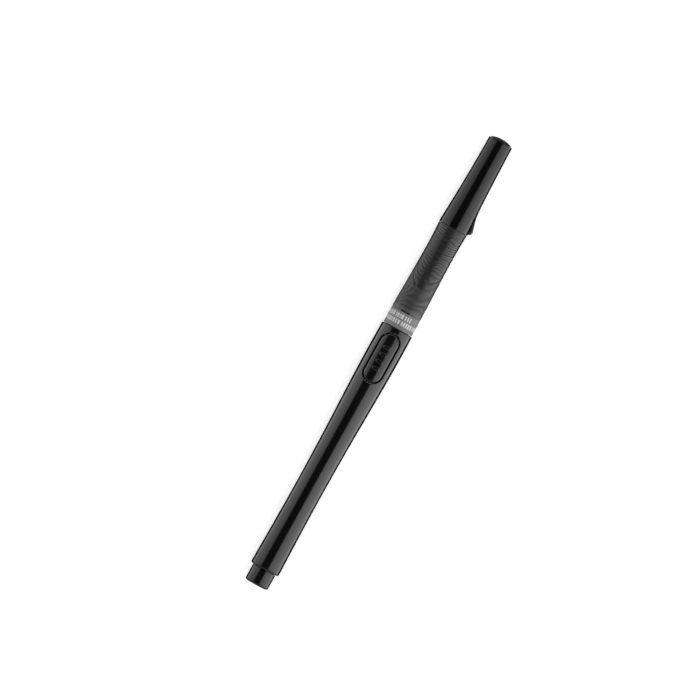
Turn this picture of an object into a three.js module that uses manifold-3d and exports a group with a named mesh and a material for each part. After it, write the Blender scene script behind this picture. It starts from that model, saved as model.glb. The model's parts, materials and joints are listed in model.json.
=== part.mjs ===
// Capped ink brush pen with a push pad: a squeeze bottle in the barrel feeds a bristle tuft.
// Millimetres, +Z up. The pen lies on its side along X, tail at -X and cap at +X, pad upwards.
// It rests on the widest ring of its barrel and on the ball of its clip, and the origin is below
// its middle. Every station below is a distance from the tail end, measured along the pen's axis.

import * as THREE from 'three';
import { mergeVertices } from 'three/addons/utils/BufferGeometryUtils.js';
import Module from 'manifold-3d';

const wasm = await Module();
wasm.setup();

// ---- driving dimensions -------------------------------------------------------------------

const OUTER_SIDES = 32; // sides of every round piece that can be seen
const INNER_SIDES = 16; // sides of the small round pieces inside
const FIT = 0.1; // radial gap between pieces that push together
const SEAM = 0.3; // gap between two pieces that meet end to end

const PEN_LENGTH = 170;
const TAIL_RADIUS = 4.225;
const TAIL_EDGE = 0.75; // rounding of the tail's end
const BARREL_START = 5.85;
const BARREL_END = 97.45;
const BARREL_MAX_RADIUS = 5.715;
const BARREL_MAX_AT = 88.7;
// Station and radius down the outside of the barrel: tail shoulder, waist, belly, front rim.
const BARREL_LINE = [
  [6.5, 5.235], [22, 4.965], [37, 4.865], [50, 4.965], [60, 5.15], [70, 5.415], [80, 5.635],
  [BARREL_MAX_AT, BARREL_MAX_RADIUS], [97.2, 5.655],
];
const BORE_RADIUS = 3.95; // the bottle slides in through this bore from the tail
const PAD_BORE_RADIUS = 4.7; // wider bore behind the pad
const BOTTLE_BORE = 2.8; // its thick wall also stands for the weight of the ink
const FRONT_TUBE_RADIUS = 4.2; // the barrel's own front tube, under band and grip
const FRONT_TUBE_BORE = 3.55;
const FRONT_TUBE_END = 135.7;

const PAD_MIDDLE = 86.47;
const PAD_LENGTH = 18.2;
const PAD_WIDTH = 6.7;
const PAD_END = 3.5; // depth of its half-oval ends, nearly half-round
const PAD_GAP = 0.34; // slot around the pad
const PAD_SINK = 0.08; // how far the pad's face lies below the barrel's
const PAD_INNER_RADIUS = 4.15;
const PAD_LIP = 0.6; // how far the hidden flange reaches past the slot
const RIB_COUNT = 4;
const RIB_PITCH = 2.6;
const RIB_LENGTH = 2.4;
const RIB_WIDTH = 1;
const RIB_HEIGHT = 0.16;

const BAND_START = BARREL_END + 0.3;
const BAND_END = 103.5;
const BAND_RADIUS = 5.33;
const SLEEVE_START = 103.65;
const SLEEVE_END = 135.95;
const SLEEVE_BORE = FRONT_TUBE_RADIUS + FIT;
const SLEEVE_LINE = [
  [104.05, 5.36], [108, 5.37], [112, 5.25], [118, 5.13], [125, 5.035], [130, 5.06], [135.8, 5.25],
];
const SLEEVE_KEY = [0.4, 3.1]; // length along the pen and width of the notch in its rear rim

const NOSE_BASE_RADIUS = 4.025;
const NOSE_BASE_END = 140.2;
const NOSE_CONE_END = 142.5;
const NOSE_TIP = 148.1;
const NOSE_SPIGOT_START = 129.2;
const NOSE_BORE = 2.3;
const COLLAR_RADIUS = 2.15;
const COLLAR_START = 144.7;
const COLLAR_END = 150.7;
const TUFT_RADIUS = 1.5;
const TUFT_TIP = 162.04;
const TUFT_BUTT_START = 143.7;

const CAP_START = 136.15;
const CAP_END = 168.95;
const CAP_LINE = [[136.6, 5.36], [144.2, 4.97], [152.2, 4.64], [160.2, 4.41], [168.8, 4.33]];
const CAP_MOUTH_RADIUS = 4.3; // also fits the tail plug, where the cap is posted
const CAP_BORE = 3.6;
const CROWN_DOME = [[169.18, 3.92], [169.32, 3.7], [169.5, 3.3], [169.76, 2.45], [169.95, 1.5]];
const CROWN_FLAT = 1.2; // radius of the small flat on its end
const SEAM_NECK = 0.9; // how far the pieces neck in behind the seams at both ends
const LINER_START = 144.3;
const LINER_END = 167.25;
const LINER_RADIUS = CAP_BORE - FIT;
const LINER_BORE = 3.04;

const CLIP_BALL_RADIUS = 1.2;
const CLIP_BALL_AT = 137.9;
const CLIP_BALL_SIDE = 5.3; // how far the ball's centre lies to the side of the axis
const CLIP_WIDTH = 1.8;
const CLIP_EDGE = 0.25; // rounding of the clip's long edges
const CLIP_ROOT = [165.8, 168];
const CLIP_ROOT_DEPTH = 0.35; // how deep the root sits in the cap's wall
const CLIP_ROOT_GAP = 0.15;

// A flat side of the barrel faces the table, so the axis is this high.
const AXIS_HEIGHT = BARREL_MAX_RADIUS * Math.cos(Math.PI / OUTER_SIDES);
// The clip is turned down from the horizontal until its ball touches the table as well.
const CLIP_BALL_DROP = AXIS_HEIGHT - CLIP_BALL_RADIUS;
const CLIP_TURN = Math.atan2(CLIP_BALL_DROP, CLIP_BALL_SIDE);
const CLIP_BALL_REACH = Math.hypot(CLIP_BALL_DROP, CLIP_BALL_SIDE);
// The clip reaches further sideways than the barrel, so the axis is off the middle of the width.
const AXIS_SIDE = (CLIP_BALL_SIDE + CLIP_BALL_RADIUS - AXIS_HEIGHT) / 2;

// ---- making solids ------------------------------------------------------------------------

// A geometry with shared corners merged and triangles of no area dropped.
function closed(geometry) {
  geometry.deleteAttribute('normal');
  geometry.deleteAttribute('uv');
  const merged = mergeVertices(geometry, 1e-4);
  const corners = merged.index.array;
  const kept = [];
  for (let i = 0; i < corners.length; i += 3) {
    const [a, b, c] = corners.subarray(i, i + 3);
    if (a !== b && b !== c && c !== a) kept.push(a, b, c);
  }
  merged.setIndex(kept);
  return merged;
}

// Turns a profile of [station, radius] points about the pen's axis. The profile runs up the outside
// and back down the inside, and starts and ends on the axis or closes on itself.
function turned(profile, sides = OUTER_SIDES) {
  const points = profile.map(([station, radius]) => new THREE.Vector2(radius, station));
  const geometry = new THREE.LatheGeometry(points, sides, Math.PI / sides, 2 * Math.PI);
  return closed(geometry.rotateZ(-Math.PI / 2));
}

// A round tube of one wall: stations from start to end, between two radii.
function ring(start, end, inner, outer, sides = OUTER_SIDES) {
  return turned([[start, inner], [start, outer], [end, outer], [end, inner], [start, inner]], sides);
}

// Smooth line through a few [station, radius] points.
function smooth(line, steps) {
  const curve = new THREE.SplineCurve(line.map(([station, radius]) => new THREE.Vector2(station, radius)));
  return curve.getPoints(steps).map((point) => [point.x, point.y]);
}

// Quarter of a circle that rounds an edge, from one angle to another about a centre.
function quarter(station, radius, size, from, to, steps = 4) {
  return Array.from({ length: steps + 1 }, (_, i) => {
    const angle = THREE.MathUtils.degToRad(from + ((to - from) * i) / steps);
    return [station + size * Math.cos(angle), radius + size * Math.sin(angle)];
  });
}

function toManifold(geometry) {
  return new wasm.Manifold(new wasm.Mesh({
    numProp: 3,
    vertProperties: new Float32Array(geometry.attributes.position.array),
    triVerts: new Uint32Array(geometry.index.array),
  }));
}

function fromManifold(solid) {
  const { vertProperties, triVerts } = solid.getMesh();
  const geometry = new THREE.BufferGeometry();
  geometry.setAttribute('position', new THREE.BufferAttribute(vertProperties, 3));
  geometry.setIndex(new THREE.BufferAttribute(triVerts, 1));
  return geometry;
}

// A plate with half-oval ends, lying flat: length along X, width along Y, between two heights.
function oval(middle, length, width, end, bottom, top, arcSteps = 8) {
  const side = width / 2;
  const reach = length / 2 - end;
  const shape = new THREE.Shape();
  shape.moveTo(-reach, -side);
  shape.lineTo(reach, -side);
  shape.absellipse(reach, 0, end, side, -Math.PI / 2, Math.PI / 2, false, 0);
  shape.lineTo(-reach, side);
  shape.absellipse(-reach, 0, end, side, Math.PI / 2, 1.5 * Math.PI, false, 0);
  const options = { depth: top - bottom, bevelEnabled: false, curveSegments: arcSteps };
  return closed(new THREE.ExtrudeGeometry(shape, options).translate(middle, 0, bottom));
}

// The oval of the pad, grown by some distance all round.
function padOval(grow, bottom, top) {
  return oval(PAD_MIDDLE, PAD_LENGTH + 2 * grow, PAD_WIDTH + 2 * grow, PAD_END + grow, bottom, top);
}

// ---- barrel, tail and pad -----------------------------------------------------------------

const barrelLine = smooth(BARREL_LINE, 20);

function barrel() {
  const shell = turned([
    [BARREL_START, BORE_RADIUS],
    ...quarter(BARREL_START + 0.65, BARREL_LINE[0][1] - 0.65, 0.65, 180, 90, 4),
    ...barrelLine.slice(1, -1),
    ...quarter(BARREL_END - 0.2, BARREL_LINE.at(-1)[1] - 0.2, 0.2, 90, 0, 3),
    [BARREL_END, FRONT_TUBE_RADIUS],
    [FRONT_TUBE_END, FRONT_TUBE_RADIUS],
    [FRONT_TUBE_END, FRONT_TUBE_BORE],
    [BARREL_END - 1, FRONT_TUBE_BORE],
    [BARREL_END - 2.4, PAD_BORE_RADIUS],
    [PAD_MIDDLE - PAD_LENGTH / 2 - 3, PAD_BORE_RADIUS],
    [52, BORE_RADIUS],
    [BARREL_START, BORE_RADIUS],
  ]);
  return fromManifold(toManifold(shell).subtract(toManifold(padOval(PAD_GAP, 2, 8))));
}

function tailPlug() {
  const spigot = BORE_RADIUS - FIT;
  return turned([
    [0, 0],
    ...quarter(TAIL_EDGE, TAIL_RADIUS - TAIL_EDGE, TAIL_EDGE, 180, 90),
    [BARREL_START - SEAM, TAIL_RADIUS],
    [BARREL_START - SEAM, spigot - SEAM_NECK],
    [BARREL_START + 0.4, spigot - SEAM_NECK],
    [BARREL_START + 0.4, spigot],
    [12, spigot],
    [12.5, spigot - 0.5],
    [12.5, 0],
  ]);
}

// The pad's face follows the barrel's, a little lower, and a hidden flange keeps it in its slot.
function pushPad() {
  const line = barrelLine.filter(([station]) => station > PAD_MIDDLE - PAD_LENGTH);
  const [back, front] = [line[0][0], line.at(-1)[0]];
  const sunk = line.map(([station, radius]) => [station, radius - PAD_SINK]);
  const face = turned([[back, 0], ...sunk, [front, 0]]);
  const core = turned([
    [back - 1, 0], [back - 1, PAD_INNER_RADIUS], [front + 1, PAD_INNER_RADIUS], [front + 1, 0],
  ]);
  const key = toManifold(padOval(0, 1, 8))
    .intersect(toManifold(face))
    .subtract(toManifold(core));
  const lipEnd = BARREL_END - 3;
  const lipStart = PAD_MIDDLE - PAD_LENGTH / 2 - PAD_GAP - PAD_LIP;
  const lipWidth = PAD_WIDTH + 2 * (PAD_GAP + PAD_LIP);
  const lipPlate = oval((lipStart + lipEnd) / 2, lipEnd - lipStart, lipWidth, PAD_END, 1, 6);
  const lipShell = ring(lipStart - 1, lipEnd + 1, PAD_INNER_RADIUS, PAD_BORE_RADIUS - 0.25);
  const flange = toManifold(lipPlate).intersect(toManifold(lipShell));
  return fromManifold(ribs().reduce((pad, rib) => pad.add(rib), key.add(flange)));
}

// Raised ribs across the middle of the pad's face, for the fingertip.
function ribs() {
  const radius = BARREL_MAX_RADIUS - PAD_SINK + RIB_HEIGHT;
  return Array.from({ length: RIB_COUNT }, (_, i) => {
    const middle = PAD_MIDDLE + (i - (RIB_COUNT - 1) / 2) * RIB_PITCH;
    const arch = ring(middle - 1, middle + 1, PAD_INNER_RADIUS + 0.5, radius);
    const bar = oval(0, RIB_LENGTH, RIB_WIDTH, RIB_WIDTH / 2, 4, 7, 4);
    bar.rotateZ(Math.PI / 2).translate(middle, 0, 0);
    return toManifold(arch).intersect(toManifold(bar));
  });
}

// ---- band and grip ------------------------------------------------------------------------

function bandRing() {
  return ring(BAND_START, BAND_END, SLEEVE_BORE, BAND_RADIUS);
}

function gripSleeve() {
  const sleeve = turned([
    [SLEEVE_START, SLEEVE_BORE],
    [SLEEVE_START, SLEEVE_LINE[0][1] - 0.08],
    ...smooth(SLEEVE_LINE, 12),
    [SLEEVE_END, SLEEVE_LINE.at(-1)[1] - 0.15],
    [SLEEVE_END, SLEEVE_BORE],
    [SLEEVE_START, SLEEVE_BORE],
  ]);
  const [length, width] = SLEEVE_KEY;
  const key = closed(new THREE.BoxGeometry(2 * length, width, 2).translate(SLEEVE_START, 0, 5.9));
  return fromManifold(toManifold(sleeve).subtract(toManifold(key)));
}

// ---- nose and brush -----------------------------------------------------------------------

function noseCone() {
  const spigot = FRONT_TUBE_BORE - 0.13;
  const groove = 131.3;
  return turned([
    [NOSE_SPIGOT_START, NOSE_BORE + 0.15],
    [NOSE_SPIGOT_START, spigot],
    [groove, spigot],
    [groove, spigot - 0.47],
    [groove + 1, spigot - 0.47],
    [groove + 1, spigot],
    [SLEEVE_END, spigot],
    [SLEEVE_END, NOSE_BASE_RADIUS],
    [NOSE_BASE_END, NOSE_BASE_RADIUS],
    [NOSE_CONE_END, 3.3],
    [NOSE_CONE_END + 0.4, 3.175],
    ...quarter(NOSE_TIP - 0.6, 2.475, 0.6, 90, 0),
    [NOSE_TIP, NOSE_BORE],
    [141.6, NOSE_BORE],
    [141, NOSE_BORE + 0.15],
    [NOSE_SPIGOT_START, NOSE_BORE + 0.15],
  ]);
}

function oRing(station, radius, thickness) {
  const half = thickness / 2;
  const ringGeometry = new THREE.TorusGeometry(radius, half, 6, INNER_SIDES);
  return closed(ringGeometry.rotateY(Math.PI / 2).translate(station, 0, 0));
}

function brushCollar() {
  return turned([
    [COLLAR_START, TUFT_RADIUS + FIT],
    [COLLAR_START, COLLAR_RADIUS],
    [COLLAR_END - 0.2, COLLAR_RADIUS],
    [COLLAR_END, COLLAR_RADIUS - 0.2],
    [COLLAR_END, TUFT_RADIUS + FIT],
    [COLLAR_START, TUFT_RADIUS + FIT],
  ], INNER_SIDES);
}

// The tuft's fused butt, its shank through the collar, and the free bristles down to the point.
function brushHead() {
  return turned([
    [TUFT_BUTT_START, 0],
    [TUFT_BUTT_START, 1.95],
    [TUFT_BUTT_START + 0.7, 1.95],
    [TUFT_BUTT_START + 0.7, TUFT_RADIUS],
    ...smooth([[151, TUFT_RADIUS], [154, 1.32], [158.2, 0.83], [160.4, 0.4], [161.9, 0.08]], 8),
    [TUFT_TIP, 0],
  ], INNER_SIDES);
}

// ---- ink feed -----------------------------------------------------------------------------

function inkBottle() {
  return turned([
    [13.2, 0],
    ...quarter(15.2, 1.7, 2, 180, 90),
    [94.6, 3.7],
    [96.6, 3.15],
    [98.4, 2.15],
    [106.2, 2.15],
    [106.2, 1.65],
    [98.2, 1.65],
    [96.3, 2.5],
    [94.4, BOTTLE_BORE],
    [15.7, BOTTLE_BORE],
    [14.1, 1.5],
    [14.1, 0],
  ], INNER_SIDES);
}

function bottlePlug() {
  return turned([
    [102.5, 0.6], [102.5, 1.35], [103, 1.55], [106.45, 1.55], [106.45, 2.1], [107.5, 2.1], [107.5, 0.6],
    [102.5, 0.6],
  ], INNER_SIDES);
}

// Disc with a hollow beak that opens towards the brush.
function checkValve() {
  return turned([
    [108, 0.25], [108, 2.85], [108.6, 2.85], [108.6, 1.05], [111.1, 0.5], [111.1, 0.25], [108, 0.25],
  ], INNER_SIDES);
}

function feedHolder() {
  const outside = FRONT_TUBE_BORE - FIT;
  return turned([
    [99.6, 2.95], [99.6, outside], [128.8, outside], [128.8, 2.5], [108.8, 2.5], [108.8, 2.95], [99.6, 2.95],
  ]);
}

function feedComb() {
  const [start, end, finRadius, stemRadius] = [109.2, 128.2, 2.4, 1.6];
  const [fins, finWidth] = [8, 0.8];
  const pitch = (end - start - 3.6) / (fins - 1);
  const comb = Array.from({ length: fins }, (_, i) => {
    const station = start + 2.6 + i * pitch;
    return [[station, stemRadius], [station, finRadius], [station + finWidth, finRadius],
      [station + finWidth, stemRadius]];
  }).flat();
  return turned([
    [start, 1.3], [start, finRadius], [start + 1, finRadius], [start + 1, stemRadius], ...comb,
    [end, stemRadius], [end, 0.75], [111.5, 0.75], [111.5, 1.3], [start, 1.3],
  ], INNER_SIDES);
}

function feedRod() {
  return turned([[111.8, 0], [111.8, 0.65], [143.4, 0.65], [143.4, 0]], INNER_SIDES);
}

// ---- cap ----------------------------------------------------------------------------------

// Open at both ends. A notch at the closed end holds the root of the clip.
function capShell() {
  const shell = turned([
    [CAP_START, CAP_MOUTH_RADIUS],
    ...quarter(CAP_START + 0.12, CAP_LINE[0][1] - 0.12, 0.12, 180, 90, 2),
    ...smooth(CAP_LINE, 12).slice(1),
    [CAP_END, CAP_LINE.at(-1)[1] - 0.15],
    [CAP_END, CAP_BORE],
    [152, CAP_BORE],
    [151, CAP_BORE + 0.15],
    [143.8, CAP_BORE + 0.15],
    [141.6, CAP_MOUTH_RADIUS],
    [CAP_START, CAP_MOUTH_RADIUS],
  ]);
  const [rootStart, rootEnd] = CLIP_ROOT;
  const length = rootEnd - rootStart + 2 * CLIP_ROOT_GAP;
  const width = CLIP_WIDTH + 2 * CLIP_ROOT_GAP;
  const floor = clipRootFloor() - CLIP_ROOT_GAP;
  const notch = new THREE.BoxGeometry(length, width, 2);
  notch.translate((rootStart + rootEnd) / 2, 0, floor + 1);
  return fromManifold(toManifold(shell).subtract(toManifold(closed(turnToClip(notch)))));
}

function clipRootFloor() {
  return CAP_LINE.at(-1)[1] - CLIP_ROOT_DEPTH;
}

// Turns a geometry whose clip side faces +Z down to where the clip is.
function turnToClip(geometry) {
  return geometry.rotateX(Math.PI / 2 + CLIP_TURN);
}

function capCrown() {
  const spigot = CAP_BORE - FIT;
  return turned([
    [LINER_END + SEAM, 0],
    [LINER_END + SEAM, spigot],
    [CAP_END - 0.4, spigot],
    [CAP_END - 0.4, spigot - SEAM_NECK],
    [CROWN_DOME[0][0], spigot - SEAM_NECK],
    ...CROWN_DOME,
    [PEN_LENGTH, CROWN_FLAT],
    [PEN_LENGTH, 0],
  ]);
}

function innerCap() {
  return turned([
    [LINER_START, 3.32], [LINER_START, LINER_RADIUS + 0.15], [150.6, LINER_RADIUS + 0.15],
    [151.6, LINER_RADIUS], [LINER_END, LINER_RADIUS], [LINER_END, 0], [LINER_END - 0.5, 0],
    [LINER_END - 0.5, LINER_BORE], [149.4, LINER_BORE], [148.8, 3.32], [LINER_START, 3.32],
  ]);
}

// Side view of the clip: root in the cap, a slim arm along the cap, then a flare out to the ball.
function capClip() {
  const [rootStart, rootEnd] = CLIP_ROOT;
  const edge = CLIP_EDGE;
  const floor = clipRootFloor();
  const outside = smooth([
    [rootEnd, 5.02], [160, 5.25], [152, 5.5], [145, 5.85], [141.2, 6.7], [138.6, 7.85],
  ], 14);
  const inside = smooth([
    [138.6, 6.2], [141.6, 5.65], [145, 5.16], [152, 4.87], [160, 4.64], [rootStart, 4.56],
  ], 12);
  const outline = [...outside, ...inside, [rootStart, floor], [rootEnd, floor]];
  // The bevel puts the edge back on, so the outline is drawn one edge smaller all round.
  const shape = new THREE.Shape(outline.map(([station, radius]) => new THREE.Vector2(station, radius)));
  const arm = new THREE.ExtrudeGeometry(shape, {
    depth: CLIP_WIDTH - 2 * edge,
    bevelEnabled: true,
    bevelSize: edge,
    bevelOffset: -edge,
    bevelThickness: edge,
    bevelSegments: 2,
  });
  arm.rotateX(Math.PI / 2).translate(0, CLIP_WIDTH / 2 - edge, 0);
  const ball = new THREE.SphereGeometry(CLIP_BALL_RADIUS, 16, 10);
  ball.translate(CLIP_BALL_AT, 0, CLIP_BALL_REACH);
  const solid = toManifold(closed(arm)).add(toManifold(closed(ball)));
  return turnToClip(fromManifold(solid));
}

// ---- assembly -----------------------------------------------------------------------------

const GLOSS_BLACK = { color: 0x1b1b1c, roughness: 0.2, metalness: 0 };
const SOFT_BLACK = { color: 0x202021, roughness: 0.5, metalness: 0 };
const GRIP_GREY = { color: 0x333334, roughness: 0.6, metalness: 0 };
const BAND_GREY = { color: 0x9a9a9b, roughness: 0.55, metalness: 0 };
const BRISTLE = { color: 0x555556, roughness: 0.8, metalness: 0 };
const CLEAR_WHITE = { color: 0xd8d8d6, roughness: 0.4, metalness: 0 };
const SEAL_BLACK = { color: 0x151515, roughness: 0.7, metalness: 0 };

const pen = new THREE.Group();
pen.position.set(-PEN_LENGTH / 2, AXIS_SIDE, AXIS_HEIGHT);

function place(name, geometry, finish) {
  const mesh = new THREE.Mesh(geometry, new THREE.MeshStandardMaterial(finish));
  mesh.name = name;
  pen.add(mesh);
}

place('barrel', barrel(), GLOSS_BLACK);
place('tail_plug', tailPlug(), GLOSS_BLACK);
place('push_pad', pushPad(), SOFT_BLACK);
place('band_ring', bandRing(), BAND_GREY);
place('grip_sleeve', gripSleeve(), GRIP_GREY);
place('nose_cone', noseCone(), GLOSS_BLACK);
place('nose_o_ring', oRing(131.8, 3.22, 0.5), SEAL_BLACK);
place('brush_collar', brushCollar(), SOFT_BLACK);
place('brush_head', brushHead(), BRISTLE);
place('ink_bottle', inkBottle(), CLEAR_WHITE);
place('bottle_plug', bottlePlug(), CLEAR_WHITE);
place('neck_o_ring', oRing(103, 2.55, 0.66), SEAL_BLACK);
place('check_valve', checkValve(), SEAL_BLACK);
place('feed_holder', feedHolder(), SOFT_BLACK);
place('feed_comb', feedComb(), CLEAR_WHITE);
place('feed_rod', feedRod(), BRISTLE);
place('cap_shell', capShell(), GLOSS_BLACK);
place('cap_crown', capCrown(), GLOSS_BLACK);
place('inner_cap', innerCap(), CLEAR_WHITE);
place('cap_clip', capClip(), GLOSS_BLACK);

export default pen;
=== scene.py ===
import json
import math

import bmesh
import bpy
import numpy as np
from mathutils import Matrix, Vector
from mathutils.bvhtree import BVHTree


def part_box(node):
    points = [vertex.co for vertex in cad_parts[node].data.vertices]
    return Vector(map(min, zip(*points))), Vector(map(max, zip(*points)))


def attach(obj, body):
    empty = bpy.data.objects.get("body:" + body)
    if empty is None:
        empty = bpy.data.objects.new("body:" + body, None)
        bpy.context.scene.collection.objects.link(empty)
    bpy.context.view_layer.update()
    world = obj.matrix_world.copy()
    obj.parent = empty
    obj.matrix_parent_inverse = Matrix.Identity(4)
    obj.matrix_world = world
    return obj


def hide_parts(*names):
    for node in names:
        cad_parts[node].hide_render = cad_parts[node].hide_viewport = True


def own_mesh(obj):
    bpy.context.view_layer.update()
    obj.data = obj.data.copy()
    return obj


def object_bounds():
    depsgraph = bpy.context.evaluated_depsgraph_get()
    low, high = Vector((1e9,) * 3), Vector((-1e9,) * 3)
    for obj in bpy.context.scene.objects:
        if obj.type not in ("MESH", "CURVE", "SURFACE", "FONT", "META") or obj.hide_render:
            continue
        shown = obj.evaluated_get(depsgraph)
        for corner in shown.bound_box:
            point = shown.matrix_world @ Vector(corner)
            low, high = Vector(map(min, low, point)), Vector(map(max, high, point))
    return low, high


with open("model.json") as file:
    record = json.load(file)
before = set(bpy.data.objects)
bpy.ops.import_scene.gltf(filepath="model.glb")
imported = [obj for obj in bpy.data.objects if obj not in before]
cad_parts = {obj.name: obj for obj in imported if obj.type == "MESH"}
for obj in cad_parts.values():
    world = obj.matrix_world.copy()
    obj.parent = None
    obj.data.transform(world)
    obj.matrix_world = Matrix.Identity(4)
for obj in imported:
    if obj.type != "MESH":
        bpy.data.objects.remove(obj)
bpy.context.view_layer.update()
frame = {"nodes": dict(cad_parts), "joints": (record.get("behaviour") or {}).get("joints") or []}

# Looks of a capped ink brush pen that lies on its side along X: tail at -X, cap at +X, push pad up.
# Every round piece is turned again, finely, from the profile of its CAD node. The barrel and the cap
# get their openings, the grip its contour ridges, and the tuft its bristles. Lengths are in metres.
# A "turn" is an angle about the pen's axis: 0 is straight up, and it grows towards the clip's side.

MM = 0.001
FULL_TURN = 2 * math.pi

# ---- shape ---------------------------------------------------------------------------------------

SIDES = 192              # points round a piece that can be seen
INNER_SIDES = 96
EDGE = 0.1 * MM          # fillet on a true edge
FINE_EDGE = 0.06 * MM    # the same on the small pieces inside, and on the rim of the pad's slot
CRISP_EDGE = 0.04 * MM   # the same where pieces meet end to end
SOFT_REACH = 0.35 * MM   # how far the rounding of a blunt corner reaches
STRAIGHT = math.radians(0.05)    # a profile that turns less than this has no corner
BLUNT_TURN = math.radians(6)
SHARP_TURN = math.radians(50)
ARC_STEP = math.radians(11)
LONG_SIDE = 5            # a side this many fillets long gets a support point
SUPPORT = 1.6            # distance of a support point from its edge, in fillets

ON_AXIS = 0.001 * MM     # a corner of a CAD node this near the axis lies on it
SAME_TURN = math.radians(0.3)    # corners this near in turn lie on one meridian
SAME_STATION = 0.01 * MM
WELD = 0.0002 * MM       # points this near are joined

SEAM_TRIM = 0.1 * MM     # how much closer than in CAD some pieces meet end to end
SEAM_REACH = 0.5 * MM    # the seam before the band is shorter than this
COLLAR_LENGTH = 0.1 * MM # step of the barrel in that seam
COLLAR_RADIUS = 5.0 * MM

SHELL_RADIUS = 5 * MM    # about, to compare turns with lengths
RIM_CROWDING = 1.4       # how much the rows of a patch crowd towards the opening
RIM_MARGIN = 1.8         # distance of the last row from the opening, in fillets

PAD_LENGTH = 18.2 * MM
PAD_WIDTH = 6.7 * MM
PAD_END = 3.5 * MM       # depth of the pad's half-oval ends
PAD_GAP = 0.34 * MM
PAD_SINK = 0.08 * MM
PAD_SHOULDER = 0.7 * MM  # sloping border inside the pad's rim
PAD_SLOPE = math.radians(31)
PAD_EDGE = 0.18 * MM     # rounding of the rim itself
PAD_FACE_DROP = 0.01 * MM        # how far the shoulder starts below the face
# Rows down the shoulder: share of its width from the rim, and share of the drop that is due there.
PAD_SHOULDER_ROWS = ((1, 0.1), (0.87, 0.5), (0.7, 1), (0.45, 1), (PAD_EDGE / PAD_SHOULDER, 1))
PAD_UNDERSIDE = 4.17 * MM
PAD_FLANGE_TOP = 4.45 * MM
PAD_FLANGE_SHIFT = 0.3 * MM      # the flange stops twice this short of the pad's front end
PAD_FLANGE_WIDTH = 1.17          # against the width of the face
BARREL_SKIN = 4.8 * MM   # only the outside of the barrel is this far from the axis
SLOT_MARGIN = 0.4 * MM   # how much longer than the slot the patch round it is, at either end
RIB_COUNT = 4
RIB_PITCH = 2.6 * MM
RIB_LENGTH = 2.4 * MM
RIB_WIDTH = 1 * MM
RIB_HEIGHT = 0.16 * MM
RIB_SLOPE = 0.32 * MM

RIDGE_PITCH = 0.7 * MM
RIDGE_HEIGHT = 0.12 * MM
SWELL_PITCH = 1.6 * MM   # slower waves under the ridges
SWELL_HEIGHT = 0.022 * MM
GRIP_STEP = 0.102 * MM
GRIP_SIDES = 288
GRIP_EDGE = 0.03 * MM    # bevel at both ends
GROOVE_SHARPNESS = 1.8
WHORL_STATION = 8.2 * MM # the spot that the ridges run round: from the rear rim
WHORL_TURN = math.radians(-130)
GRIP_RINGS = ((9.05 * MM, 1.0), (7.3 * MM, 0.4))  # fine raised rings: from the rear rim, and how strong
GRIP_RING_WIDTH = 0.13 * MM
GRIP_RIM = 1.35 * MM     # plain stretch at the rear rim
GRIP_RIM_BLEND = 0.3 * MM        # over which the ridges start behind it
GRIP_FRONT_BLEND = 0.5 * MM      # over which they end at the front rim
GRIP_PALE = 8.5 * MM     # from the rear rim to where the paler part of the grip ends
KEY_WIDTH = 3.1 * MM     # notch in the rear rim that shows the barrel's key
KEY_LENGTH = 0.42 * MM
KEY_TURN = math.radians(-5.6)
KEY_FLOOR = 4.4 * MM     # height of the notch's floor above the axis
KEY_PAINTED_SHADE = 2.5           # groove value that paints shade on the notch's floor

BAR_HEIGHT = 1.6 * MM
BAR_WIDTHS = (0.35, 0.75)        # narrowest and widest printed bar, in millimetres
BAR_GAPS = (0.25, 0.5)
BAR_CORNER = (0.08 * MM, 0.08 * MM)
BAR_ROWS = ((0, -0.02), (0, 0.022), (0.03, 0.03))  # shrink and lift of a bar's edge, in millimetres
BAR_LIFT = 0.03 * MM     # how far the face of a bar stands proud of the band

CLIP_ROOT_LENGTH = 2.2 * MM
CLIP_ROOT_GAP = 0.15 * MM
CLIP_WIDTH = 1.8 * MM
CLIP_BALL = 1.2 * MM     # radius of the ball at the free end
CLIP_BALL_END = 0.62 * math.pi   # angle at which the ball runs into the arm
CLIP_FLARE = 4.2 * MM    # from the middle of the ball to where the arm has its own width
CLIP_POINTS = 64         # points round the clip
CLIP_STEP = 0.25 * MM
CLIP_SMOOTHING = 9       # steps over which the arm's outline is evened out
NOTCH_FLOOR = 3.83 * MM  # height of the clip notch's floor above the axis
NOTCH_CORNER = (0.2 * MM, 0.2 * MM)
NOTCH_EDGE = 0.05 * MM
NOTCH_MARGIN = 0.22 * MM # how much longer than the notch the patch round it is, at either end

TUFT_SIDES = 240
TUFT_ROWS = 90
TUFT_BEND = 0.17 * MM
BRISTLES = 110
BRISTLE_ROWS = 22
BRISTLE_SIDES = 6
BRISTLE_ROOT = 0.2 * MM  # how far a bristle starts inside the collar
BRISTLE_RADIUS = 0.04 * MM
BRISTLE_TIP = 0.004 * MM


def middle(node):
    low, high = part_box(node)
    return (low + high) / 2


AXIS = middle("band_ring")  # its y and z are the pen's axis


def around(x, turn, radius):
    """Points in the row frame, from stations, turns and distances from the axis."""
    x, turn, radius = np.broadcast_arrays(x, turn, radius)
    return np.stack([x, AXIS.y - radius * np.sin(turn), AXIS.z + radius * np.cos(turn)], axis=-1)


def vertices_of(node):
    mesh = frame["nodes"][node].data
    flat = np.empty(3 * len(mesh.vertices), np.float32)
    mesh.vertices.foreach_get("co", flat)
    return flat.reshape(-1, 3).astype(float)


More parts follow.
